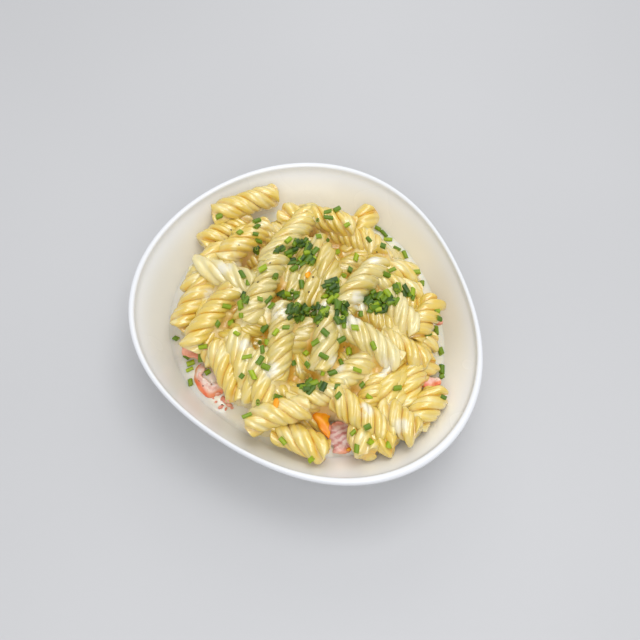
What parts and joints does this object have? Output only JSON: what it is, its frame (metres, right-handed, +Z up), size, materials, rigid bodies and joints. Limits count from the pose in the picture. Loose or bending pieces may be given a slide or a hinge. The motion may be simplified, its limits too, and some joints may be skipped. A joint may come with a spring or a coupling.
{
  "type": "bowl of spiral pasta in cream sauce",
  "caption": "Oval white porcelain bowl with a heap of spiral pasta in cream sauce, ham slices, carrot and chopped chives.",
  "frame": {"origin": "under the centre of the round foot, on the surface that the bowl stands on", "axes": "+Z up, +Y away from the side that the bowl is looked at from, the bowl's long end 53 degrees from +X towards -Y"},
  "size_m": [0.1747, 0.1813, 0.0652],
  "materials": {
    "porcelain": "glossy white glaze",
    "cream_sauce": "wet, smooth cream",
    "pasta": "moist, softly shining",
    "ham": "moist",
    "carrot": "moist"
  },
  "bodies": {
    "root": {"bowl": "porcelain", "sauce": "cream_sauce", "pasta_heap": "pasta", "ham_curl": "ham", "ham_back": "ham", "ham_front": "ham", "ham_right": "ham", "carrot_front": "carrot"}
  },
  "joints": []
}
